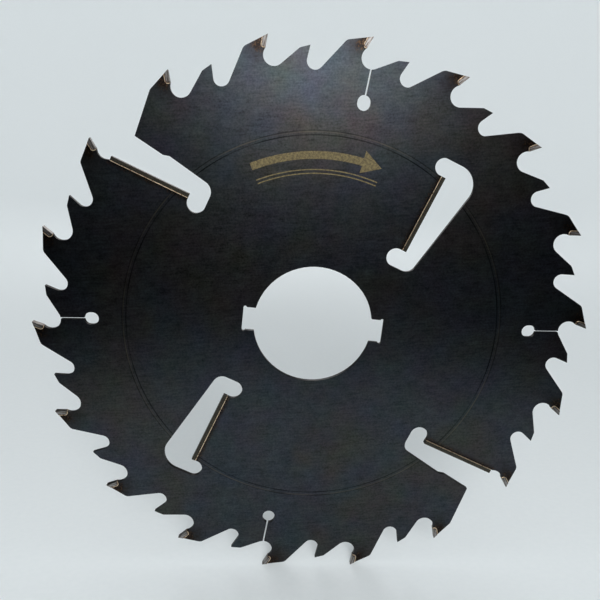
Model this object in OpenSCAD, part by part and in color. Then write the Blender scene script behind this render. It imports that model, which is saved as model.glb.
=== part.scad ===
// Multi-rip circular saw blade, 350 mm across.
//
// A thin hardened-steel plate carries eighteen brazed carbide teeth. Between them stand plain,
// lower steel teeth that limit the bite. Four long carbide strips, brazed along the edges of two
// closed and two open slots, wipe the walls of the cut clean. Four slits with round ends let the
// rim grow when it warms up, a rolled ring keeps the plate in tension, and two keyways lock the
// bore to its sleeve.
//
// The blade stands upright on two neighbouring teeth: the bore runs along Y, the face towards -Y
// is the one seen with the cutting direction clockwise, and the origin is the middle of the bore.
// Outlines are drawn in XY, looking at that face, and stood up at the end.

/* [Blade] */
// Diameter over the carbide tips
blade_d = 350; // [347:0.5:354]
// Thickness of the steel plate
plate_t = 2.8; // [2.4:0.1:3.2]
// Width of the cut, across the carbide tips
kerf = 3.8; // [3.4:0.1:4.4]

/* [Bore] */
// Diameter of the bore
bore_d = 75; // [60:1:80]
// Width of each of the two keyways
keyway_w = 15; // [8:0.5:20]
// Distance from the middle of the bore to the end of a keyway
keyway_reach = 44.5; // [43:0.5:48]
// Radius of the small reliefs in the keyways' corners
keyway_relief_r = 1.1; // [0.6:0.1:1.6]
// Direction of the first keyway
keyway_angle = -5; // [-10:1:10]

/* [Carbide teeth] */
// Hook angle of the cutting face
tip_hook = 20; // [14:1:24]
// Relief angle of the land behind the cutting edge
tip_relief = 17; // [12:1:20]
// Length of the land, from the cutting edge to the heel
tip_land = 15.4; // [13:0.2:17]
// Radius that rounds the heel
tip_heel_r = 4; // [1:0.5:6]
// Length of the carbide's cutting face
tip_face_l = 7.4; // [6:0.1:9]
// Thickness of the carbide behind its face
tip_t = 2.6; // [2:0.1:3.5]
// Radius of the carbide's seated corner
tip_corner_r = 1.5; // [0.5:0.1:1.9]
// Side clearance down the cutting face
radial_clearance = 1; // [0.3:0.1:1.5]
// Side clearance behind the cutting face
tangential_clearance = 2; // [0.5:0.1:3]
// Radius of the gullet in front of each tip
gullet_r = 6.3; // [5:0.1:7]
// How far the gullet bites behind the line of the cutting face
gullet_bite = 0.7; // [0.2:0.1:1.2]

/* [Limiter teeth] */
// How far the plain teeth stay below the tips
limiter_drop = 7.8; // [6:0.1:9]
// Angle from a tip to the plain tooth in front of it
limiter_lead = 8; // [7.5:0.1:8.5]
// Hook angle of a plain tooth
limiter_hook = 15; // [8:1:20]
// Relief angle of a plain tooth's land
limiter_relief = 13; // [8:1:18]
// Length of a plain tooth's land
limiter_land = 6.3; // [4:0.1:8]
// Radius that rounds a plain tooth's heel
limiter_heel_r = 3; // [0.5:0.5:5]
// Length of a plain tooth's face, down to its gullet
limiter_face_l = 7.8; // [6:0.1:9]
// Radius of the gullet in front of a plain tooth
limiter_gullet_r = 4.9; // [4:0.1:5.5]

/* [Expansion slits] */
// Width of the slit
slit_w = 1.1; // [0.4:0.1:2]
// How far in front of the tip's radius the slit runs
slit_lead = 2.4; // [1:0.1:4]
// Distance from the middle of the blade to the middle of the slit's hole
slit_hole_at = 138.2; // [125:0.1:145]
// Width of the hole
slit_hole_w = 8; // [4:0.2:10]
// How much longer the hole is than it is wide
slit_hole_extra = 1; // [0:0.1:3]

/* [Tension ring] */
// Radius of the track that a roller presses into both faces to tension the plate
ring_r = 118.2; // [112:0.1:119]
// Width of the track
ring_w = 2.4; // [1:0.1:4]
// Depth of the track
ring_depth = 0.05; // [0.02:0.01:0.15]

/* [Raker strips] */
// Length of a strip
strip_l = 50.2; // [48:0.1:51]
// Thickness of a strip, from its brazed side to its free side
strip_t = 2.4; // [1.5:0.1:3]
// Width of a strip, across the plate
strip_w = 3.5; // [3:0.1:4]
// Direction in which the first inner strip runs outwards
inner_strip_angle = 65; // [60:1:70]
// Direction in which the first outer strip runs outwards
outer_strip_angle = 155; // [153:1:157]
// Distance of an inner strip's free side from the middle of the blade
inner_strip_offset = 30.9; // [29:0.1:33]
// Distance of an outer strip's free side from the middle of the blade
outer_strip_offset = 41.1; // [40.5:0.1:42]
// Where an inner strip starts, along its own direction
inner_strip_start = 67; // [66:0.1:68]
// Where an outer strip starts, along its own direction
outer_strip_start = 103.2; // [102.4:0.1:104]

/* [Brazing] */
// Thickness of the solder behind a tip
tip_braze_t = 0.15; // [0.05:0.05:0.4]
// Thickness of the solder behind a strip
strip_braze_t = 0.3; // [0.1:0.05:0.5]

/* [Hidden] */
$fn = 96;
tip_count = 18;
pitch = 360 / tip_count;
half_turn = 180;
quarter_turn = 90;
tip_r = blade_d / 2;
limiter_r = tip_r - limiter_drop;
// Teeth whose gullet opens into a slit, and those whose gullet opens into a slot
slit_teeth = [0, 5, 9, 14];
strip_tooth = 11;
slot_teeth = [strip_tooth - tip_count / 2, strip_tooth];
// Overlap that lets a cutter run clear of the edge that it cuts
run_out = 6;
// A line that blends into an arc cuts this far into it, so that the two cross at one clean point
blend = 0.01;

function two_digits(n) = n < 10 ? str("0", n) : str(n);

TIP_NODES = [for (k = [1 : tip_count]) str("carbide_tip_", two_digits(k))];
BRAZE_NODES = [for (k = [1 : tip_count]) str("tip_braze_", two_digits(k))];
STRIP_NODES = ["inner_raker_1", "inner_raker_2", "outer_raker_1", "outer_raker_2"];
STRIP_BRAZE_NODES = [for (name = STRIP_NODES) str(name, "_braze")];

// ---- plane geometry ----

function direction(a) = [cos(a), sin(a)];
function turned(p, a) = [p.x * cos(a) - p.y * sin(a), p.x * sin(a) + p.y * cos(a)];
function angle_of(v) = atan2(v.y, v.x);

// Where the line from a point blends into a circle, on the left of the view from the point
function touch_point(from, centre, r) =
  let (way = centre - from, reach = norm(way), stand_off = r - blend)
  from + sqrt(reach * reach - stand_off * stand_off)
    * direction(angle_of(way) + asin(stand_off / reach));

// What a rounding of radius r takes off a corner whose two edges leave it towards a and b
module corner_shaving(corner, a, b, r) {
  along_a = direction(angle_of(a - corner));
  along_b = direction(angle_of(b - corner));
  inward = direction(angle_of(along_a + along_b));
  half_angle = acos(along_a * inward);
  touch = r / tan(half_angle);
  centre = corner + r / sin(half_angle) * inward;
  difference() {
    polygon([corner - inward, corner + touch * along_a, centre, corner + touch * along_b]);
    translate(centre) circle(r = r + blend);
  }
}

// ---- tooth form, drawn with the cutting edge on the Y axis and cutting towards +X ----

// A point reached from the cutting edge: down the face by depth, then forwards by ahead
function from_edge(edge_r, hook, depth, ahead) =
  [0, edge_r] - depth * [sin(hook), cos(hook)] + ahead * [cos(hook), -sin(hook)];
function heel_point(edge_r, relief, land) = [0, edge_r] + land * direction(half_turn + relief);

tip_point = [0, tip_r];
face_out = from_edge(tip_r, tip_hook, -run_out, 0);
gullet_stand_off = gullet_r - gullet_bite;
gullet_depth = tip_face_l + sqrt(gullet_r * gullet_r - gullet_stand_off * gullet_stand_off);
gullet_centre = from_edge(tip_r, tip_hook, gullet_depth, gullet_stand_off);
// The line of the face runs on into the gullet as far as this
face_foot = from_edge(tip_r, tip_hook, gullet_depth, 0);

// The plain tooth in front of this tip
limiter_point = turned([0, limiter_r], -limiter_lead);
limiter_heel = turned(heel_point(limiter_r, limiter_relief, limiter_land), -limiter_lead);
limiter_foot = turned(from_edge(limiter_r, limiter_hook, limiter_face_l, 0), -limiter_lead);
limiter_gullet = turned(
  from_edge(limiter_r, limiter_hook, limiter_face_l, limiter_gullet_r - blend), -limiter_lead);

// The next carbide tooth
next_point = turned(tip_point, -pitch);
next_out = turned([0, tip_r + run_out], -pitch);
next_heel = turned(heel_point(tip_r, tip_relief, tip_land), -pitch);

gullet_touch = touch_point(limiter_heel, gullet_centre, gullet_r);
limiter_touch = touch_point(next_heel, limiter_gullet, limiter_gullet_r);

// The waste between one tip and the next where a plain tooth stands between them
module limiter_gap() {
  polygon([gullet_centre, face_foot, face_out, next_out, next_point, next_heel, limiter_touch,
           limiter_gullet, limiter_foot, limiter_point, limiter_heel, gullet_touch]);
  translate(gullet_centre) circle(r = gullet_r);
  translate(limiter_gullet) circle(r = limiter_gullet_r);
  corner_shaving(limiter_heel, limiter_point, gullet_touch, limiter_heel_r);
  corner_shaving(next_heel, next_point, limiter_touch, tip_heel_r);
}

// The slit runs in from the gullet and ends in a hole that stops it from tearing on
module expansion_slit() {
  translate([slit_lead, slit_hole_at]) {
    translate([-slit_w / 2, 0])
      square([slit_w, gullet_centre.y - slit_hole_at]);
    for (side = [-1, 1])
      translate([0, side * slit_hole_extra / 2]) circle(d = slit_hole_w);
    square([slit_hole_w - 2 * blend, slit_hole_extra], center = true);
  }
}

// ---- carbide tip, drawn with its cutting edge at the origin and its face down the Y axis ----

land_slope = tan(tip_hook + tip_relief);

// The rounded corner of the tip, or of its seat once grow has moved back and floor outwards
module seated_corner(grow) {
  back = -(tip_t + grow);
  floor_at = -(tip_face_l + grow);
  corner_shaving([back, floor_at], [back, 0], [0, floor_at], tip_corner_r + grow);
}

// The tip's outline, with its back and floor moved outwards by grow
module tip_outline(grow = 0) {
  back = -(tip_t + grow);
  floor_at = -(tip_face_l + grow);
  difference() {
    polygon([[0, 0], [0, floor_at], [back, floor_at], [back, back * land_slope]]);
    seated_corner(grow);
  }
}

// The seat's cutter, which runs out past the face and past the land
module tip_seat() {
  back = -(tip_t + tip_braze_t);
  floor_at = -(tip_face_l + tip_braze_t);
  clear = 2;
  difference() {
    polygon([[clear, clear], [clear, floor_at], [back, floor_at], [back, clear]]);
    seated_corner(tip_braze_t);
  }
}

module place_on_tip() {
  translate(tip_point) rotate(-tip_hook) children();
}

// The two ground flanks: widest at the cutting edge, drawing in both downwards and backwards
module ground_flanks() {
  fall = [tan(tangential_clearance), tan(radial_clearance)];
  slope = norm(fall);
  reach = 2 * tip_face_l;
  widest = kerf / 2 + slope;
  narrowest = kerf / 2 - slope * reach;
  rotate([0, 0, half_turn + angle_of(fall)])
    rotate([90, 0, 0])
      linear_extrude(2 * reach, center = true)
        polygon([[-1, widest], [reach, narrowest], [reach, -narrowest], [-1, -widest]]);
}

// ---- slots, drawn with X along the strip outwards and Y from the strip across the slot ----

// Both slots start alike: a round lobe below the strip's inner end, a square end with one rounded
// corner, and a far side that spreads away from the strip
lobe_r = 5.85;
slot_spread = 10;
seat_depth = strip_t + strip_braze_t;

inner_lobe_depth = 4;
inner_slot_w = 8.8;
inner_slot_corner_r = 6.5;
// The closed slot's outer end has a lobe too, and a larger rounded corner
end_lobe_r = 5.4;
end_lobe_depth = 3.9;
end_corner_r = 12.5;

outer_lobe_depth = 3.6;
outer_slot_w = 9.5;
outer_slot_corner_r = 7;
// Where the open slot's far side steps in, and by how much
step_from = 31.2;
step_to = 35;
step_in = 1.7;
// The plate's corner at the open slot's mouth, measured from the slot's inner end
mouth_at = 54.2;
mouth_across = 16.7;

function far_side(width, x) = width + x * tan(slot_spread);

module closed_slot(start, offset) {
  end = start + strip_l;
  low = start - 2 * lobe_r;
  high = end + 2 * end_lobe_r;
  low_corner = [low, offset + inner_slot_w];
  high_corner = [high, offset + far_side(inner_slot_w, high - low)];
  lobe = [start - lobe_r, offset - inner_lobe_depth];
  end_lobe = [end + end_lobe_r, offset - end_lobe_depth];
  seat = offset - seat_depth;
  translate(lobe) circle(r = lobe_r + blend);
  translate(end_lobe) circle(r = end_lobe_r + blend);
  difference() {
    polygon([[low, lobe.y], [start, lobe.y], [start, seat], [end, seat], [end, end_lobe.y],
             [high, end_lobe.y], high_corner, low_corner]);
    corner_shaving(low_corner, high_corner, [low, offset], inner_slot_corner_r);
    corner_shaving(high_corner, low_corner, [high, offset], end_corner_r);
  }
}

// A point of the tooth that the outer strip runs out to, seen in the open slot's drawing
function beside_strip(p) =
  let (q = turned(p, -pitch * strip_tooth - quarter_turn - outer_strip_angle)) [q.x, -q.y];

module open_slot(start, offset) {
  low = start - 2 * lobe_r;
  low_corner = [low, offset + outer_slot_w];
  lobe = [start - lobe_r, offset - outer_lobe_depth];
  seat = offset - seat_depth;
  before_step = [low + step_from, offset + far_side(outer_slot_w, step_from)];
  after_step = [low + step_to, offset + far_side(outer_slot_w, step_to) - step_in];
  mouth_corner = [low + mouth_at, offset + mouth_across];
  gullet = beside_strip(gullet_centre);
  heel = beside_strip(next_heel);
  translate(lobe) circle(r = lobe_r + blend);
  translate(gullet) circle(r = gullet_r);
  corner_shaving(heel, beside_strip(next_point), mouth_corner, tip_heel_r);
  difference() {
    polygon([[low, lobe.y], [start, lobe.y], [start, seat], [gullet.x, seat], gullet,
             beside_strip(face_foot), beside_strip(face_out), beside_strip(next_out),
             beside_strip(next_point), heel, mouth_corner, after_step, before_step, low_corner]);
    corner_shaving(low_corner, before_step, [low, offset], outer_slot_corner_r);
  }
}

// X along a strip outwards, Y from the strip across its slot, clockwise round the blade
module along_strip(angle) {
  rotate(angle) mirror([0, 1, 0]) children();
}

module at_tooth(k) {
  rotate(-pitch * k - quarter_turn) children();
}

module both_ways() {
  for (turn = [0, half_turn]) rotate(turn) children();
}

// Stands a drawing up, so that its face looks towards -Y and its top towards +Z
module upright() {
  rotate([90, 0, 0]) children();
}

// ---- steel plate ----

module teeth_waste() {
  for (k = [0 : tip_count - 1])
    at_tooth(k) {
      if (len(search(k, slot_teeth)) == 0) limiter_gap();
      if (len(search(k, slit_teeth)) > 0) expansion_slit();
      place_on_tip() tip_seat();
    }
}

module slots_waste() {
  both_ways() {
    along_strip(inner_strip_angle) closed_slot(inner_strip_start, inner_strip_offset);
    along_strip(outer_strip_angle) open_slot(outer_strip_start, outer_strip_offset);
  }
}

module bore_outline() {
  circle(d = bore_d);
  rotate(keyway_angle) {
    square([2 * keyway_reach, keyway_w], center = true);
    for (x = [-1, 1], y = [-1, 1])
      translate([x * (keyway_reach - keyway_relief_r + blend), y * (keyway_w / 2 - 0.3)])
        circle(r = keyway_relief_r);
  }
}

// The roller's track on both faces
module tension_ring() {
  for (side = [-1, 1])
    translate([0, 0, side * plate_t / 2])
      linear_extrude(2 * ring_depth, center = true)
        difference() {
          circle(r = ring_r + ring_w / 2, $fn = 360);
          circle(r = ring_r - ring_w / 2, $fn = 360);
        }
}

module plate() {
  color("#2a2c2f") upright()
    difference() {
      linear_extrude(plate_t, center = true)
        difference() {
          circle(r = tip_r, $fn = 360);
          teeth_waste();
          slots_waste();
          bore_outline();
        }
      tension_ring();
    }
}

// ---- carbide teeth and their solder ----

module carbide_tip(k) {
  color("#8d9196") upright() at_tooth(k) place_on_tip()
    intersection() {
      linear_extrude(2 * kerf, center = true) tip_outline();
      ground_flanks();
    }
}

module tip_braze(k) {
  color("#b8924a") upright() at_tooth(k) place_on_tip() linear_extrude(plate_t, center = true)
    difference() {
      tip_outline(tip_braze_t);
      tip_outline();
      translate([gullet_stand_off, -gullet_depth]) circle(r = gullet_r);
    }
}

// ---- raker strips and their solder ----

module strip_bar(start, back, thickness, width) {
  translate([start, back, -width / 2]) cube([strip_l, thickness, width]);
}

module raker_strip(angle, start, offset) {
  color("#6b675f") upright() along_strip(angle)
    strip_bar(start, offset - strip_t, strip_t, strip_w);
}

module strip_braze(angle, start, offset) {
  color("#b8924a") upright() along_strip(angle)
    strip_bar(start, offset - seat_depth, strip_braze_t, plate_t);
}

plate();
for (k = [1 : tip_count]) {
  carbide_tip(k - 1);
  tip_braze(k - 1);
}
for (i = [0, 1]) {
  inner_angle = inner_strip_angle + i * half_turn;
  outer_angle = outer_strip_angle + i * half_turn;
  raker_strip(inner_angle, inner_strip_start, inner_strip_offset);
  strip_braze(inner_angle, inner_strip_start, inner_strip_offset);
  raker_strip(outer_angle, outer_strip_start, outer_strip_offset);
  strip_braze(outer_angle, outer_strip_start, outer_strip_offset);
}
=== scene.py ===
import math

import bmesh
import bpy
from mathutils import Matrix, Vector


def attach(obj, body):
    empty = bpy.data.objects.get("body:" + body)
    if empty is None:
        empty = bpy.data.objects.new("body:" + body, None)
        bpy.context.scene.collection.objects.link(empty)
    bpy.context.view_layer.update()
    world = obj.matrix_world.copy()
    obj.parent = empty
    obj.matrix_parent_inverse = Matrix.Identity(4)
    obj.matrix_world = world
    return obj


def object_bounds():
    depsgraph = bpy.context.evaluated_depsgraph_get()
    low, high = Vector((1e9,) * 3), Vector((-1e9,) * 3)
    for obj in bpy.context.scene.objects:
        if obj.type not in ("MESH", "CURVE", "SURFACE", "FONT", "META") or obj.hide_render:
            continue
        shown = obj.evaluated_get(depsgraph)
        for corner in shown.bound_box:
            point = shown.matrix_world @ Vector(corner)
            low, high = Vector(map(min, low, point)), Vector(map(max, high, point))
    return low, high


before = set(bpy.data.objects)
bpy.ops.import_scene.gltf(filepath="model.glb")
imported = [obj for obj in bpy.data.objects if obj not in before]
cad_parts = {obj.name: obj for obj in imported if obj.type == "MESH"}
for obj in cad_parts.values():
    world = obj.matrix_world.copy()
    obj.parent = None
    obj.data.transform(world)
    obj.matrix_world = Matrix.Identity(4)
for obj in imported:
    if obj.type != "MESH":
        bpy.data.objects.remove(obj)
cad_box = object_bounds()


# ---- Camera ----
# The viewer stands in front of the blade, a little above its middle, and looks slightly down
# through a lens of nearly normal length.
MM = 0.001

camera_data = bpy.data.cameras.new("viewer")
camera_data.lens = 42.13
camera_data.sensor_width = 36
camera_data.clip_start = 10 * MM
camera = bpy.data.objects.new("viewer", camera_data)
camera.location = Vector((-24.2, -426.4, 124.8)) * MM
camera.rotation_euler = [math.radians(turn) for turn in (75.67, -1.30, -1.79)]
bpy.context.scene.collection.objects.link(camera)
bpy.context.scene.camera = camera
bpy.context.scene.view_settings.view_transform = "Standard"


# ---- Steel plate ----
# Saw steel, about 2.8 mm thick: hardened, ground flat and blued almost black in the tempering
# oven. Its outline, slots and bore are cut by laser, and brazing has scorched the seats of the
# tips and strips. A roller has pressed a tension ring into each face.
TIP_COUNT = 18
PITCH = 2 * math.pi / TIP_COUNT
TIP_R = 175 * MM
TIP_HOOK = math.radians(20)
STRIP_L = 50.2 * MM
STRIP_T = 2.4 * MM
INNER_STRIP = dict(angle=math.radians(65), start=67 * MM, offset=30.9 * MM)
OUTER_STRIP = dict(angle=math.radians(155), start=103.2 * MM, offset=41.1 * MM)
RING_R = 118.2 * MM
RING_W = 2.4 * MM
GRAIN_TILT = math.radians(5)
OXIDE_PATCH = 22 * MM
TEMPER_DRIFT = 75 * MM
MARK_SPACING = 1.2 * MM
MARK_STRETCH = 8
CLOUD_SIZE = 6 * MM
GRIT_SIZE = 1.1 * MM
CUT_SPACING = 0.5 * MM


def hex_colour(text):
    """Turns an sRGB hex colour to linear red, green, blue and alpha."""
    parts = [int(text[i:i + 2], 16) / 255 for i in (1, 3, 5)]
    linear = [p / 12.92 if p <= 0.04045 else ((p + 0.055) / 1.055) ** 2.4 for p in parts]
    return (*linear, 1.0)


def add_node(tree, kind, inputs=None, **settings):
    """Adds a node with its settings, and sets or links its inputs. A node given as a value
    stands for its first output in use."""
    node = tree.nodes.new(kind)
    for name, value in settings.items():
        setattr(node, name, value)
    for key, value in (inputs or {}).items():
        socket = node.inputs[key] if isinstance(key, int) else next(
            s for s in node.inputs if s.name == key and s.enabled)
        if isinstance(value, bpy.types.Node):
            value = next(s for s in value.outputs if s.enabled)
        if isinstance(value, bpy.types.NodeSocket):
            tree.links.new(value, socket)
        else:
            socket.default_value = value
    return node


def new_group(name, kind, inputs, outputs):
    """A node group with named sockets, each a type and a starting value, and its input node."""
    group = bpy.data.node_groups.new(name, kind)
    for way, sockets in (("INPUT", inputs), ("OUTPUT", outputs)):
        for label, (socket_type, value) in sockets.items():
            socket = group.interface.new_socket(label, in_out=way,
                                                socket_type="NodeSocket" + socket_type)
            if value is not None:
                socket.default_value = value
    return group, add_node(group, "NodeGroupInput")


def new_material(name):
    """A material with only its shader and its output."""
    material = bpy.data.materials.new(name)
    material.use_nodes = True
    tree = material.node_tree
    shader = tree.nodes["Principled BSDF"]
    return material, tree, shader


# Where a point lies on the blade: its radius, and its place in the frame of its own tooth, as
# the distance behind the cutting face and the distance below the cutting edge
TOOTH_REACH = 0.28 * PITCH

tooth_place, given = new_group(
    "tooth_place", "ShaderNodeTree", {"Place": ("Vector", None)},
    {"Radius": ("Float", None), "Behind": ("Float", None), "Below": ("Float", None)})
flat = add_node(tooth_place, "ShaderNodeVectorMath", {0: given, 1: (1.0, 0.0, 1.0)},
                operation="MULTIPLY")
radius = add_node(tooth_place, "ShaderNodeVectorMath", {0: flat}, operation="LENGTH")
parts = add_node(tooth_place, "ShaderNodeSeparateXYZ", {0: flat})
angle = add_node(tooth_place, "ShaderNodeMath", {0: parts.outputs["Z"], 1: parts.outputs["X"]},
                 operation="ARCTAN2")
angle = add_node(tooth_place, "ShaderNodeMath", {0: angle, 1: TOOTH_REACH}, operation="ADD")
turn = add_node(tooth_place, "ShaderNodeMath", {0: angle, 1: PITCH}, operation="SNAP")
on_first = add_node(tooth_place, "ShaderNodeVectorRotate", {"Vector": flat, "Angle": turn},
                    rotation_type="Y_AXIS")
from_edge = add_node(tooth_place, "ShaderNodeVectorMath", {0: on_first, 1: (TIP_R, 0.0, 0.0)},
                     operation="SUBTRACT")
from_edge = add_node(tooth_place, "ShaderNodeVectorRotate",
                     {"Vector": from_edge, "Angle": math.pi / 2 - TIP_HOOK},
                     rotation_type="Y_AXIS")
parts = add_node(tooth_place, "ShaderNodeSeparateXYZ", {0: from_edge})
add_node(tooth_place, "NodeGroupOutput", {"Radius": radius, "Behind": parts.outputs["X"],
                                          "Below": parts.outputs["Z"]})

# Distance from the seat of a strip that runs outwards at an angle, or of its twin over the bore
from_strip, given = new_group(
    "from_strip", "ShaderNodeTree",
    {"Place": ("Vector", None), "Angle": ("Float", 0.0), "Middle": ("Vector", None),
     "Half size": ("Vector", None)},
    {"Distance": ("Float", None)})
flat = add_node(from_strip, "ShaderNodeVectorMath",
                {0: given.outputs["Place"], 1: (1.0, 0.0, 1.0)}, operation="MULTIPLY")
along = add_node(from_strip, "ShaderNodeVectorRotate",
                 {"Vector": flat, "Angle": given.outputs["Angle"]}, rotation_type="Y_AXIS")
parts = add_node(from_strip, "ShaderNodeSeparateXYZ", {0: along})
side = add_node(from_strip, "ShaderNodeMath", {0: parts.outputs["X"]}, operation="SIGN")
along = add_node(from_strip, "ShaderNodeVectorMath", {"Vector": along, "Scale": side},
                 operation="SCALE")
past = add_node(from_strip, "ShaderNodeVectorMath", {0: along, 1: given.outputs["Middle"]},
                operation="SUBTRACT")
past = add_node(from_strip, "ShaderNodeVectorMath", {0: past}, operation="ABSOLUTE")
past = add_node(from_strip, "ShaderNodeVectorMath", {0: past, 1: given.outputs["Half size"]},
                operation="SUBTRACT")
past = add_node(from_strip, "ShaderNodeVectorMath", {0: past, 1: (0.0, 0.0, 0.0)},
                operation="MAXIMUM")
past = add_node(from_strip, "ShaderNodeVectorMath", {0: past}, operation="LENGTH")
add_node(from_strip, "NodeGroupOutput", {"Distance": past})

# One colour laid over another: at full strength where a measure is low, and gone where it is high
laid_over, given = new_group(
    "laid_over", "ShaderNodeTree",
    {"Under": ("Color", None), "Over": ("Color", None), "Measure": ("Float", 0.0),
     "Full at": ("Float", 0.0), "Gone at": ("Float", 1.0), "Strength": ("Float", 1.0)},
    {"Colour": ("Color", None)})
share = add_node(laid_over, "ShaderNodeMapRange",
                 {"Value": given.outputs["Measure"], "From Min": given.outputs["Full at"],
                  "From Max": given.outputs["Gone at"], "To Min": given.outputs["Strength"],
                  "To Max": 0.0}, interpolation_type="SMOOTHSTEP")
both = add_node(laid_over, "ShaderNodeMix",
                {"Factor": share, "A": given.outputs["Under"], "B": given.outputs["Over"]},
                data_type="RGBA")
add_node(laid_over, "NodeGroupOutput", {"Colour": both})

# Blued, surface-ground saw steel: a dark metal mirror, softened by its grinding marks, whose
# oxide drifts between blue, green and purple greys
plate_steel, tree, shader = new_material("blued_ground_saw_steel")
coords = add_node(tree, "ShaderNodeTexCoord")
spot = coords.outputs["Object"]
tooth = add_node(tree, "ShaderNodeGroup", {"Place": spot}, node_tree=tooth_place)

# Oxide patches a thumb's width across, shown as a tint that averages to one, over a blue that
# runs out to brown where the plate cooled last
drift = add_node(tree, "ShaderNodeTexNoise",
                 {"Vector": spot, "Scale": 1 / OXIDE_PATCH, "Detail": 3.0}).outputs["Color"]
drift = add_node(tree, "ShaderNodeVectorMath",
                 {0: drift, 1: (0.50, 0.42, 0.54), 2: (0.75, 0.79, 0.73)},
                 operation="MULTIPLY_ADD")
warmth = add_node(tree, "ShaderNodeTexNoise", {"Vector": spot, "Scale": 1 / TEMPER_DRIFT,
                                               "Detail": 2.0})
tempered = add_node(tree, "ShaderNodeGroup",
                    {"Under": hex_colour("#393d42"), "Over": hex_colour("#403c35"),
                     "Measure": warmth, "Full at": 0.40, "Gone at": 0.54, "Strength": 0.45},
                    node_tree=laid_over)
tempered = add_node(tree, "ShaderNodeVectorMath", {0: drift, 1: tempered},
                    operation="MULTIPLY")

# The surface grinder's marks all run one way, a few degrees off level. Real ones are 0.1 mm
# apart; these are drawn 1.2 mm apart, and eight times as long, so that they show
level = add_node(tree, "ShaderNodeVectorRotate", {"Vector": spot, "Angle": GRAIN_TILT},
                 rotation_type="Y_AXIS")
level = add_node(tree, "ShaderNodeVectorMath", {0: level, 1: (1 / MARK_STRETCH, 1.0, 1.0)},
                 operation="MULTIPLY")
marks = add_node(tree, "ShaderNodeTexNoise", {"Vector": level, "Scale": 1 / MARK_SPACING,
                                              "Detail": 3.0, "Roughness": 0.65})
# Handling and oil leave the oxide cloudy at 6 mm, and its grit speckles at about 1 mm
clouds = add_node(tree, "ShaderNodeTexNoise", {"Vector": spot, "Scale": 1 / CLOUD_SIZE,
                                               "Detail": 3.0, "Roughness": 0.65})
grit = add_node(tree, "ShaderNodeTexNoise", {"Vector": spot, "Scale": 1 / GRIT_SIZE,
                                             "Detail": 1.0})
light_by = add_node(tree, "ShaderNodeMath", {0: marks, 1: 1.0, 2: -0.25},
                    operation="MULTIPLY_ADD")
light_by = add_node(tree, "ShaderNodeMath", {0: clouds, 1: 0.6, 2: light_by},
                    operation="MULTIPLY_ADD")
light_by = add_node(tree, "ShaderNodeMath", {0: grit, 1: 0.9, 2: light_by},
                    operation="MULTIPLY_ADD")
tempered = add_node(tree, "ShaderNodeVectorMath", {"Vector": tempered, "Scale": light_by},
                    operation="SCALE")

# Brazing heat: rust brown and straw right at the seat, then a scorch that runs out into the blue
SEAT_BEHIND = 4.4 * MM
SEAT_BELOW = 5.6 * MM
SCORCH_EDGE = 2.4 * MM
SCORCH_WANDER = 4 * MM
FLECK_SIZE = 1.2 * MM

wander = add_node(tree, "ShaderNodeTexNoise", {"Vector": spot, "Scale": 1 / SCORCH_EDGE,
                                               "Detail": 3.0, "Roughness": 0.65})
wander_by = add_node(tree, "ShaderNodeMath", {0: wander, 1: 2 * SCORCH_WANDER, 2: -SCORCH_WANDER},
                     operation="MULTIPLY_ADD")
seat = add_node(tree, "ShaderNodeCombineXYZ", {0: tooth.outputs["Behind"],
                                               2: tooth.outputs["Below"]})
seat = add_node(tree, "ShaderNodeVectorMath", {0: seat, 1: (SEAT_BEHIND, 0.0, SEAT_BELOW)},
                operation="SUBTRACT")
seat = add_node(tree, "ShaderNodeVectorMath", {0: seat, 1: (1.0, 1.0, 0.75)},
                operation="MULTIPLY")
from_seat = add_node(tree, "ShaderNodeVectorMath", {0: seat}, operation="LENGTH")
from_seat = add_node(tree, "ShaderNodeMath", {0: from_seat, 1: wander_by}, operation="ADD")
flecks = add_node(tree, "ShaderNodeTexNoise", {"Vector": spot, "Scale": 1 / FLECK_SIZE,
                                               "Detail": 2.0, "Roughness": 0.7})
browned = add_node(tree, "ShaderNodeGroup",
                   {"Under": hex_colour("#211b18"), "Over": hex_colour("#4c3a2b"),
                    "Measure": flecks, "Full at": 0.34, "Gone at": 0.50},
                   node_tree=laid_over)
tempered = add_node(tree, "ShaderNodeGroup",
                    {"Under": tempered, "Over": hex_colour("#221e1c"), "Measure": from_seat,
                     "Full at": 2.0 * MM, "Gone at": 13 * MM, "Strength": 0.55},
                    node_tree=laid_over)
tempered = add_node(tree, "ShaderNodeGroup",
                    {"Under": tempered, "Over": browned, "Measure": from_seat,
                     "Full at": 1.2 * MM, "Gone at": 5.2 * MM, "Strength": 0.85},
                    node_tree=laid_over)

for strip in (INNER_STRIP, OUTER_STRIP):
    middle = (strip["start"] + STRIP_L / 2, 0.0, STRIP_T - strip["offset"])
    away = add_node(tree, "ShaderNodeGroup",
                    {"Place": spot, "Angle": strip["angle"], "Middle": middle,
                     "Half size": (STRIP_L / 2, 0.0, 0.0)}, node_tree=from_strip)
    away = add_node(tree, "ShaderNodeMath", {0: wander_by, 1: 0.4, 2: away},
                    operation="MULTIPLY_ADD")
    tempered = add_node(tree, "ShaderNodeGroup",
                        {"Under": tempered, "Over": browned, "Measure": away,
                         "Full at": 0.8 * MM, "Gone at": 4.0 * MM, "Strength": 0.8},
                        node_tree=laid_over)

# The roller's track is shown by painted lines: a painted line of shade along each edge of the
# track, standing in for the shade at the groove's edges, and a painted highlight just inside its
# outer edge. The shade lines come and go round the blade, and where they fade the painted
# highlight grows stronger
RING_PAINT_LINE_W = 0.55 * MM
RING_PAINT_DRIFT = 30 * MM

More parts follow.
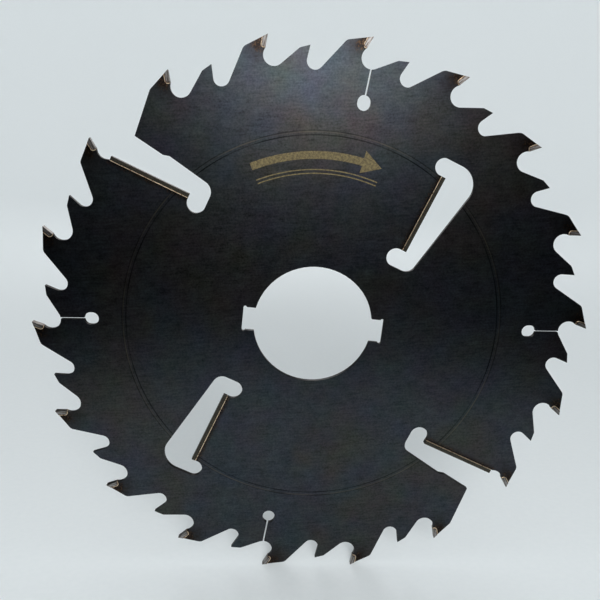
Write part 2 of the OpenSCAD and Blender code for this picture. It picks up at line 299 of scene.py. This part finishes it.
from_ring = add_node(tree, "ShaderNodeMath", {0: tooth.outputs["Radius"], 1: RING_R},
                     operation="SUBTRACT")
along_ring = add_node(tree, "ShaderNodeTexNoise", {"Vector": spot, "Scale": 1 / RING_PAINT_DRIFT,
                                                   "Detail": 2.0})
# Painted lines, each given as its place across the ring, its colour, and its strength where the
# drift noise is low and high: the first two are painted shade, the third a painted highlight
for place, colour, strengths in (
        (-RING_W / 2, "#0e0d0d", (0.80, 0.35)), (RING_W / 2, "#121211", (0.60, 0.15)),
        (RING_W / 2 - RING_PAINT_LINE_W, "#5c574c", (0.05, 0.55))):
    strength = add_node(tree, "ShaderNodeMapRange",
                        {"Value": along_ring, "From Min": 0.40, "From Max": 0.62,
                         "To Min": strengths[0], "To Max": strengths[1]})
    off_line = add_node(tree, "ShaderNodeMath", {0: from_ring, 1: place}, operation="SUBTRACT")
    off_line = add_node(tree, "ShaderNodeMath", {0: off_line}, operation="ABSOLUTE")
    tempered = add_node(tree, "ShaderNodeGroup",
                        {"Under": tempered, "Over": hex_colour(colour), "Measure": off_line,
                         "Full at": RING_PAINT_LINE_W / 4, "Gone at": RING_PAINT_LINE_W,
                         "Strength": strength}, node_tree=laid_over)

# Laser-cut walls: a greyer, rougher scale, with the cut's fine lines across the thickness
normal = add_node(tree, "ShaderNodeSeparateXYZ", {0: coords.outputs["Normal"]})
facing = add_node(tree, "ShaderNodeMath", {0: normal.outputs["Y"]}, operation="ABSOLUTE")
wall = add_node(tree, "ShaderNodeMapRange", {"Value": facing, "From Min": 0.3, "From Max": 0.7,
                                             "To Min": 1.0, "To Max": 0.0})
across = add_node(tree, "ShaderNodeVectorMath", {0: spot, 1: (1.0, 0.06, 1.0)},
                  operation="MULTIPLY")
cut_lines = add_node(tree, "ShaderNodeTexNoise", {"Vector": across, "Scale": 1 / CUT_SPACING,
                                                  "Detail": 1.0})
scale = add_node(tree, "ShaderNodeMix",
                 {"Factor": cut_lines, "A": hex_colour("#201f1f"), "B": hex_colour("#3b3938")},
                 data_type="RGBA")
tempered = add_node(tree, "ShaderNodeMix", {"Factor": wall, "A": tempered, "B": scale},
                    data_type="RGBA")
tree.links.new(tempered.outputs["Result"], shader.inputs["Base Color"])
shader.inputs["Metallic"].default_value = 1.0

gloss = add_node(tree, "ShaderNodeMath", {0: marks, 1: 0.10, 2: 0.22}, operation="MULTIPLY_ADD")
gloss = add_node(tree, "ShaderNodeMath", {0: clouds, 1: 0.08, 2: gloss},
                 operation="MULTIPLY_ADD")
gloss = add_node(tree, "ShaderNodeMath", {0: wall, 1: 0.2, 2: gloss}, operation="MULTIPLY_ADD")
tree.links.new(gloss.outputs[0], shader.inputs["Roughness"])

relief = add_node(tree, "ShaderNodeMath", {0: clouds, 1: 0.5, 2: marks},
                  operation="MULTIPLY_ADD")
relief = add_node(tree, "ShaderNodeMix", {"Factor": wall, "A": relief, "B": cut_lines},
                  data_type="FLOAT")
bump = add_node(tree, "ShaderNodeBump", {"Strength": 0.35, "Distance": 0.03 * MM,
                                         "Height": relief})
tree.links.new(bump.outputs[0], shader.inputs["Normal"])


def finish_solid(name, material):
    """Gives a solid of the blade its finish."""
    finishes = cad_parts[name].data.materials
    finishes.clear()
    finishes.append(material)


finish_solid("plate", plate_steel)


# ---- Carbide tips ----
# Eighteen blocks of sintered tungsten carbide, brazed into the plate's seats and then ground on
# face, land and flanks. Fresh grinding leaves them silver grey, with fine lines along the cut.
TIP_T = 2.6 * MM
TIP_FACE_L = 7.4 * MM
WHEEL_LINES = 0.9 * MM
FLUX_SIZE = 1.6 * MM
STAIN_REACH = 2.4 * MM

# Ground tungsten carbide: a bright, slightly warm metal with lines down the flank, and brown
# flux stain creeping in from the seam
tip_carbide, tree, shader = new_material("ground_tungsten_carbide")
spot = add_node(tree, "ShaderNodeTexCoord").outputs["Object"]
tooth = add_node(tree, "ShaderNodeGroup", {"Place": spot}, node_tree=tooth_place)
# The diamond wheel's lines are 0.05 mm apart; drawn 0.9 mm apart so that they show
lines = add_node(tree, "ShaderNodeMath", {0: tooth.outputs["Below"], 1: 0.12},
                 operation="MULTIPLY")
lines = add_node(tree, "ShaderNodeCombineXYZ", {0: tooth.outputs["Behind"], 2: lines})
lines = add_node(tree, "ShaderNodeTexNoise", {"Vector": lines, "Scale": 1 / WHEEL_LINES,
                                              "Detail": 1.0})
stain = add_node(tree, "ShaderNodeTexNoise", {"Vector": spot, "Scale": 1 / FLUX_SIZE,
                                              "Detail": 3.0, "Roughness": 0.6})
ground = add_node(tree, "ShaderNodeGroup",
                  {"Under": hex_colour("#979492"), "Over": hex_colour("#5a534d"),
                   "Measure": lines, "Full at": 0.38, "Gone at": 0.60}, node_tree=laid_over)
to_back = add_node(tree, "ShaderNodeMath", {0: TIP_T, 1: tooth.outputs["Behind"]},
                   operation="SUBTRACT")
to_floor = add_node(tree, "ShaderNodeMath", {0: TIP_FACE_L, 1: tooth.outputs["Below"]},
                    operation="SUBTRACT")
to_seam = add_node(tree, "ShaderNodeMath", {0: to_back, 1: to_floor}, operation="MINIMUM")
to_seam = add_node(tree, "ShaderNodeMath", {0: stain, 1: STAIN_REACH, 2: to_seam},
                   operation="MULTIPLY_ADD")
ground = add_node(tree, "ShaderNodeGroup",
                  {"Under": ground, "Over": hex_colour("#4a3a2d"), "Measure": to_seam,
                   "Full at": STAIN_REACH / 2, "Gone at": STAIN_REACH, "Strength": 0.8},
                  node_tree=laid_over)
tree.links.new(ground.outputs[0], shader.inputs["Base Color"])
shader.inputs["Metallic"].default_value = 1.0
gloss = add_node(tree, "ShaderNodeMath", {0: stain, 1: 0.2, 2: 0.28}, operation="MULTIPLY_ADD")
tree.links.new(gloss.outputs[0], shader.inputs["Roughness"])
bump = add_node(tree, "ShaderNodeBump", {"Strength": 0.3, "Distance": 0.02 * MM,
                                         "Height": lines})
tree.links.new(bump.outputs[0], shader.inputs["Normal"])

for k in range(1, TIP_COUNT + 1):
    finish_solid(f"carbide_tip_{k:02d}", tip_carbide)


# ---- Solder behind the tips ----
# Silver solder fills the seam between each tip and its seat, and stands out on both faces as a
# thin, uneven bead that follows the tip's back and floor. Flux has stained it in places.
PLATE_T = 2.8 * MM
RIPPLE_SIZE = 0.6 * MM
BEAD_SIDES = 10

# Silver brazing alloy, cooled in the air: a bright straw-coloured metal with soft ripples
solder, tree, shader = new_material("silver_brazing_solder")
spot = add_node(tree, "ShaderNodeTexCoord").outputs["Object"]
flux = add_node(tree, "ShaderNodeTexNoise", {"Vector": spot, "Scale": 1 / FLUX_SIZE,
                                             "Detail": 2.0, "Roughness": 0.6})
ripple = add_node(tree, "ShaderNodeTexNoise", {"Vector": spot, "Scale": 1 / RIPPLE_SIZE,
                                               "Detail": 1.0})
bright = add_node(tree, "ShaderNodeMix",
                  {"Factor": ripple, "A": hex_colour("#d6ae78"), "B": hex_colour("#fff1dc")},
                  data_type="RGBA")
bright = add_node(tree, "ShaderNodeGroup",
                  {"Under": bright, "Over": hex_colour("#6b4a2d"), "Measure": flux,
                   "Full at": 0.34, "Gone at": 0.46}, node_tree=laid_over)
tree.links.new(bright.outputs[0], shader.inputs["Base Color"])
shader.inputs["Metallic"].default_value = 1.0
gloss = add_node(tree, "ShaderNodeMath", {0: flux, 1: 0.2, 2: 0.28}, operation="MULTIPLY_ADD")
tree.links.new(gloss.outputs[0], shader.inputs["Roughness"])
bump = add_node(tree, "ShaderNodeBump", {"Strength": 0.4, "Distance": 0.05 * MM,
                                         "Height": ripple})
tree.links.new(bump.outputs[0], shader.inputs["Normal"])

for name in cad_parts:
    if "braze" in name:
        finish_solid(name, solder)

# Geometry Nodes turn a seam, drawn at mid-plate, into beads on both faces of every like seat
solder_beads, given = new_group(
    "solder_beads", "GeometryNodeTree",
    {"Seam": ("Geometry", None), "Half width": ("Float", 0.36 * MM), "Rise": ("Float", 0.85),
     "Face distance": ("Float", PLATE_T / 2), "Turn between seats": ("Float", PITCH),
     "Seats": ("Int", TIP_COUNT), "Step": ("Float", 0.3 * MM),
     "Wave length": ("Float", 1.5 * MM), "Unevenness": ("Float", 0.12 * MM),
     "Metal": ("Material", None)},
    {"Beads": ("Geometry", None)})
line = add_node(solder_beads, "GeometryNodeMeshToCurve", {0: given.outputs["Seam"]})
line = add_node(solder_beads, "GeometryNodeResampleCurve",
                {"Curve": line, "Length": given.outputs["Step"]}, mode="LENGTH")
bar = add_node(solder_beads, "GeometryNodeCurvePrimitiveCircle",
               {"Resolution": BEAD_SIDES, "Radius": given.outputs["Half width"]})
bead = add_node(solder_beads, "GeometryNodeCurveToMesh",
                {"Curve": line, "Profile Curve": bar, "Fill Caps": True})
squeeze = add_node(solder_beads, "ShaderNodeCombineXYZ",
                   {0: 1.0, 1: given.outputs["Rise"], 2: 1.0})
bead = add_node(solder_beads, "GeometryNodeTransform", {"Geometry": bead, "Scale": squeeze})
pair = add_node(solder_beads, "GeometryNodeJoinGeometry")
for face_side in (-1.0, 1.0):
    out = add_node(solder_beads, "ShaderNodeMath",
                   {0: given.outputs["Face distance"], 1: face_side}, operation="MULTIPLY")
    out = add_node(solder_beads, "ShaderNodeCombineXYZ", {1: out})
    on_face = add_node(solder_beads, "GeometryNodeTransform",
                       {"Geometry": bead, "Translation": out})
    solder_beads.links.new(on_face.outputs[0], pair.inputs[0])
seats = add_node(solder_beads, "GeometryNodeMeshLine",
                 {"Count": given.outputs["Seats"], "Offset": (0.0, 0.0, 0.0)})
beads = add_node(solder_beads, "GeometryNodeInstanceOnPoints", {"Points": seats,
                                                                "Instance": pair})
number = add_node(solder_beads, "GeometryNodeInputIndex")
turn = add_node(solder_beads, "ShaderNodeMath",
                {0: number, 1: given.outputs["Turn between seats"]}, operation="MULTIPLY")
turn = add_node(solder_beads, "ShaderNodeCombineXYZ", {1: turn})
turn = add_node(solder_beads, "FunctionNodeEulerToRotation", {0: turn})
beads = add_node(solder_beads, "GeometryNodeRotateInstances",
                 {"Instances": beads, "Rotation": turn, "Local Space": False})
beads = add_node(solder_beads, "GeometryNodeRealizeInstances", {0: beads})
wave_scale = add_node(solder_beads, "ShaderNodeMath", {0: 1.0, 1: given.outputs["Wave length"]},
                      operation="DIVIDE")
waves = add_node(solder_beads, "ShaderNodeTexNoise", {"Scale": wave_scale, "Detail": 2.0})
push = add_node(solder_beads, "ShaderNodeVectorMath",
                {0: waves.outputs["Color"], 1: (0.5, 0.5, 0.5)}, operation="SUBTRACT")
push = add_node(solder_beads, "ShaderNodeVectorMath",
                {"Vector": push, "Scale": given.outputs["Unevenness"]}, operation="SCALE")
beads = add_node(solder_beads, "GeometryNodeSetPosition", {"Geometry": beads, "Offset": push})
beads = add_node(solder_beads, "GeometryNodeSetMaterial",
                 {"Geometry": beads, "Material": given.outputs["Metal"]})
add_node(solder_beads, "NodeGroupOutput", {0: beads})


def make_beads(name, seam, **sizes):
    """Runs the beads' nodes on a seam, a chain of points at mid-plate, and keeps the mesh."""
    chain = bpy.data.meshes.new(name)
    chain.from_pydata([tuple(p) for p in seam], [(i, i + 1) for i in range(len(seam) - 1)], [])
    maker = bpy.data.objects.new(name + "_seam", chain)
    bpy.context.scene.collection.objects.link(maker)
    modifier = maker.modifiers.new("beads", "NODES")
    modifier.node_group = solder_beads
    sockets = {s.name: s.identifier for s in solder_beads.interface.items_tree
               if s.in_out == "INPUT"}
    modifier[sockets["Metal"]] = solder
    for label, value in sizes.items():
        modifier[sockets[label.replace("_", " ")]] = value
    bpy.context.view_layer.update()
    made = bpy.data.meshes.new_from_object(
        maker.evaluated_get(bpy.context.evaluated_depsgraph_get()))
    bpy.data.objects.remove(maker)
    made.name = name
    for face in made.polygons:
        face.use_smooth = True
    piece = bpy.data.objects.new(name, made)
    bpy.context.scene.collection.objects.link(piece)
    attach(piece, "root")


def on_tooth(behind, below):
    """A place on the first tooth, which cuts at +X, given in the frame of its tip."""
    cos_h, sin_h = math.cos(TIP_HOOK), math.sin(TIP_HOOK)
    return Vector((TIP_R + behind * sin_h - below * cos_h, 0, behind * cos_h + below * sin_h))


SEAM_CORNER_R = 1.6 * MM
SEAM_OUT = 0.12 * MM
SEAM_TOP = 2.4 * MM
SEAM_FRONT = 0.35 * MM
CORNER_STEPS = 8

seam_back = TIP_T + SEAM_OUT
seam_floor = TIP_FACE_L + SEAM_OUT
tip_seam = [on_tooth(seam_back, SEAM_TOP)]
for i in range(CORNER_STEPS + 1):
    a = math.pi / 2 * i / CORNER_STEPS
    tip_seam.append(on_tooth(seam_back - SEAM_CORNER_R * (1 - math.cos(a)),
                             seam_floor - SEAM_CORNER_R * (1 - math.sin(a))))
tip_seam.append(on_tooth(SEAM_FRONT, seam_floor))
make_beads("tip_solder_beads", tip_seam)


# ---- Raker strips ----
# Four long bars of carbide, 2.4 by 3.5 mm, left as sintered on their flanks: a darker, browner
# grey than the tips. Each is brazed along the edge of its slot and stands proud on both faces.
SKIN_SIZE = 2.2 * MM
PIT_SIZE = 0.6 * MM

# As-sintered tungsten carbide: a dull brown-grey skin with darker pits
raker_carbide, tree, shader = new_material("sintered_tungsten_carbide")
spot = add_node(tree, "ShaderNodeTexCoord").outputs["Object"]
skin = add_node(tree, "ShaderNodeTexNoise", {"Vector": spot, "Scale": 1 / SKIN_SIZE,
                                             "Detail": 3.0, "Roughness": 0.6})
pits = add_node(tree, "ShaderNodeTexNoise", {"Vector": spot, "Scale": 1 / PIT_SIZE,
                                             "Detail": 1.0})
sintered = add_node(tree, "ShaderNodeMix",
                    {"Factor": skin, "A": hex_colour("#2b2926"), "B": hex_colour("#5c594f")},
                    data_type="RGBA")
sintered = add_node(tree, "ShaderNodeGroup",
                    {"Under": sintered, "Over": hex_colour("#26211d"), "Measure": pits,
                     "Full at": 0.30, "Gone at": 0.45}, node_tree=laid_over)
tree.links.new(sintered.outputs[0], shader.inputs["Base Color"])
shader.inputs["Metallic"].default_value = 1.0
gloss = add_node(tree, "ShaderNodeMath", {0: skin, 1: 0.2, 2: 0.34}, operation="MULTIPLY_ADD")
tree.links.new(gloss.outputs[0], shader.inputs["Roughness"])
bump = add_node(tree, "ShaderNodeBump", {"Strength": 0.4, "Distance": 0.03 * MM,
                                         "Height": pits})
tree.links.new(bump.outputs[0], shader.inputs["Normal"])

for name in ("inner_raker_1", "inner_raker_2", "outer_raker_1", "outer_raker_2"):
    finish_solid(name, raker_carbide)


# ---- Solder along the strips ----
# The same silver solder holds the strips in their seats. It shows as one long bead on each
# face, where a strip meets the plate.
BEAD_END = 0.4 * MM


def strip_seam(strip):
    """The line between a strip and its seat, from its inner end to its outer end."""
    across = strip["offset"] - STRIP_T - SEAM_OUT
    out = Vector((math.cos(strip["angle"]), 0, math.sin(strip["angle"])))
    sideways = Vector((math.sin(strip["angle"]), 0, -math.cos(strip["angle"])))
    ends = (strip["start"] + BEAD_END, strip["start"] + STRIP_L - BEAD_END)
    return [out * along + sideways * across for along in ends]


for name, strip in (("inner_raker_solder_beads", INNER_STRIP),
                    ("outer_raker_solder_beads", OUTER_STRIP)):
    make_beads(name, strip_seam(strip), Seats=2, Turn_between_seats=math.pi,
               Half_width=0.36 * MM, Rise=0.8)


# ---- Etched mark ----
# A laser has marked the face above the bore. The maker's words are left out, and a plain
# direction arrow with two fine rules stands in their place, in the same straw-coloured oxide.
ETCH_T = 0.02 * MM
MARK_START = 112
MARK_END = 75
RULE_END = 68
RULE_W = 0.7 * MM
HEAD_TURN = -6.5
HEAD_EXTRA = 4.5 * MM
BAND_STEPS = 48
BURN_SIZE = 1.4 * MM
MERGE = 0.001 * MM

# Laser-burnt oxide: a dull, straw-coloured film, uneven where the beam dwelt
etched_oxide, tree, shader = new_material("laser_etched_oxide")
spot = add_node(tree, "ShaderNodeTexCoord").outputs["Object"]
burn = add_node(tree, "ShaderNodeTexNoise", {"Vector": spot, "Scale": 1 / BURN_SIZE,
                                             "Detail": 3.0, "Roughness": 0.7})
oxide = add_node(tree, "ShaderNodeGroup",
                 {"Under": hex_colour("#756949"), "Over": hex_colour("#544b36"),
                  "Measure": burn, "Full at": 0.36, "Gone at": 0.62}, node_tree=laid_over)
tree.links.new(oxide.outputs[0], shader.inputs["Base Color"])
shader.inputs["Metallic"].default_value = 0.5
shader.inputs["Roughness"].default_value = 0.6


def arc_band(made, inner, outer, start, end, head_turn=0.0, head_extra=0.0):
    """A film in the shape of a curved bar, from start to end in degrees, with an arrow head."""
    stops = [(inner, start + (end - start) * i / BAND_STEPS, outer)
             for i in range(BAND_STEPS + 1)]
    if head_turn:
        middle = (inner + outer) / 2
        stops += [(inner - head_extra, end, outer + head_extra),
                  (middle, end + head_turn, middle)]
    top = -PLATE_T / 2 - ETCH_T
    under = -PLATE_T / 2 + ETCH_T
    rings = []
    for low, degrees, high in stops:
        a = math.radians(degrees)
        rings.append([made.verts.new((r * math.cos(a), y, r * math.sin(a)))
                      for r, y in ((low, top), (high, top), (high, under), (low, under))])
    for one, other in zip(rings, rings[1:]):
        for i in range(4):
            j = (i + 1) % 4
            made.faces.new((one[i], one[j], other[j], other[i]))
    made.faces.new(rings[0])
    made.faces.new(rings[-1])


mark = bmesh.new()
arc_band(mark, inner=103 * MM, outer=107.6 * MM, start=MARK_START, end=MARK_END,
         head_turn=HEAD_TURN, head_extra=HEAD_EXTRA)
for rule_r in (96.4 * MM, 94.2 * MM):
    arc_band(mark, inner=rule_r, outer=rule_r + RULE_W, start=MARK_START, end=RULE_END)
bmesh.ops.remove_doubles(mark, verts=mark.verts[:], dist=MERGE)
bmesh.ops.dissolve_degenerate(mark, edges=mark.edges[:], dist=MERGE)
bmesh.ops.recalc_face_normals(mark, faces=mark.faces[:])
mark_mesh = bpy.data.meshes.new("etched_direction_arrow")
mark.to_mesh(mark_mesh)
mark.free()
mark_mesh.materials.append(etched_oxide)
arrow = bpy.data.objects.new("etched_direction_arrow", mark_mesh)
bpy.context.scene.collection.objects.link(arrow)
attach(arrow, "root")


# ---- Stage ----
# A pale paper bowl: flat floor, round rise and wall, wide enough for a viewer anywhere inside.
# Its glossy image is left to a small patch of floor, so that the blade mirrors a darker room.
FLOOR_Z = cad_box[0].z
BOWL_R = 2.6
BOWL_RISE = 1.4
BOWL_H = 3.2
PATCH_R = 0.42
PATCH_LIFT = 0.05 * MM
TURN_STEPS = 96
RISE_STEP = 6
FIBRE_SIZE = 4 * MM

# Matte studio paper: white fibre with a faint mottle. A little light of its own, more of it up
# the wall, stands in for the light that a whole room would send back
paper, tree, shader = new_material("studio_paper")
spot = add_node(tree, "ShaderNodeTexCoord").outputs["Object"]
fibres = add_node(tree, "ShaderNodeTexNoise", {"Vector": spot, "Scale": 1 / FIBRE_SIZE,
                                               "Detail": 3.0})
sheet_colour = add_node(tree, "ShaderNodeMix",
                        {"Factor": fibres, "A": hex_colour("#d1d6d8"),
                         "B": hex_colour("#d8dcdd")}, data_type="RGBA")
tree.links.new(sheet_colour.outputs["Result"], shader.inputs["Base Color"])
shader.inputs["Roughness"].default_value = 0.8
shader.inputs["Emission Color"].default_value = hex_colour("#d3d8da")
from_axis = add_node(tree, "ShaderNodeVectorMath", {0: spot, 1: (1.0, 1.0, 0.0)},
                     operation="MULTIPLY")
from_axis = add_node(tree, "ShaderNodeVectorMath", {0: from_axis}, operation="LENGTH")
own_light = add_node(tree, "ShaderNodeMapRange",
                     {"Value": from_axis, "From Min": 0.5, "From Max": 1.4,
                      "To Min": 0.13, "To Max": 0.34}, interpolation_type="SMOOTHSTEP")
tree.links.new(own_light.outputs[0], shader.inputs["Emission Strength"])


def turned_sheet(name, profile):
    """Spins a profile of (radius, height) points, which starts on the axis, into a sheet."""
    made = bmesh.new()
    centre = made.verts.new((0, 0, profile[0][1]))
    rings = [[made.verts.new((r * math.cos(2 * math.pi * i / TURN_STEPS),
                              r * math.sin(2 * math.pi * i / TURN_STEPS), h))
              for i in range(TURN_STEPS)] for r, h in profile[1:]]
    for i in range(TURN_STEPS):
        j = (i + 1) % TURN_STEPS
        made.faces.new((centre, rings[0][i], rings[0][j]))
        for low, high in zip(rings, rings[1:]):
            made.faces.new((low[i], low[j], high[j], high[i]))
    bmesh.ops.recalc_face_normals(made, faces=made.faces[:])
    mesh = bpy.data.meshes.new(name)
    made.to_mesh(mesh)
    made.free()
    for face in mesh.polygons:
        face.use_smooth = True
    mesh.materials.append(paper)
    sheet = bpy.data.objects.new(name, mesh)
    bpy.context.scene.collection.objects.link(sheet)
    return sheet


rise = [(BOWL_R - BOWL_RISE + BOWL_RISE * math.sin(math.radians(a)),
         FLOOR_Z + BOWL_RISE * (1 - math.cos(math.radians(a))))
        for a in range(0, 90 + RISE_STEP, RISE_STEP)]
bowl = turned_sheet("paper_bowl", [(0, FLOOR_Z)] + rise + [(BOWL_R, FLOOR_Z + BOWL_H)])
bowl.visible_glossy = False
turned_sheet("paper_patch", [(0, FLOOR_Z + PATCH_LIFT), (PATCH_R, FLOOR_Z + PATCH_LIFT)])


def soft_light(name, place, aim, size, power):
    """A rectangular light box at a place, turned to face its aim."""
    data = bpy.data.lights.new(name, "AREA")
    data.shape = "RECTANGLE"
    data.size, data.size_y = size
    data.energy = power
    light = bpy.data.objects.new(name, data)
    light.location = place
    light.rotation_euler = (Vector(aim) - Vector(place)).to_track_quat("-Z", "Y").to_euler()
    light.visible_camera = False
    bpy.context.scene.collection.objects.link(light)
    return light


# The lights that fill the paper are left out of the blade's reflection, which shows only a tall
# window high in front of each face
overhead = soft_light("overhead", place=(0, 0.15, 2.2), aim=(0, 0.05, 0), size=(2.0, 2.0), power=8)
overhead.visible_glossy = False
key = soft_light("key", place=(0.1, -1.8, 0.7), aim=(0, 0.3, 0.05), size=(0.9, 0.6), power=24)
key.visible_glossy = False
soft_light("window", place=(0.085, -1.5, 0.78), aim=(0.085, 0, 0.78), size=(0.45, 1.2), power=12)
soft_light("back_window", place=(-0.085, 1.5, 0.78), aim=(-0.085, 0, 0.78), size=(0.45, 1.2),
           power=5)

room = bpy.data.worlds.new("studio")
room.use_nodes = True
room.node_tree.nodes["Background"].inputs["Color"].default_value = hex_colour("#0a0b0d")
bpy.context.scene.world = room
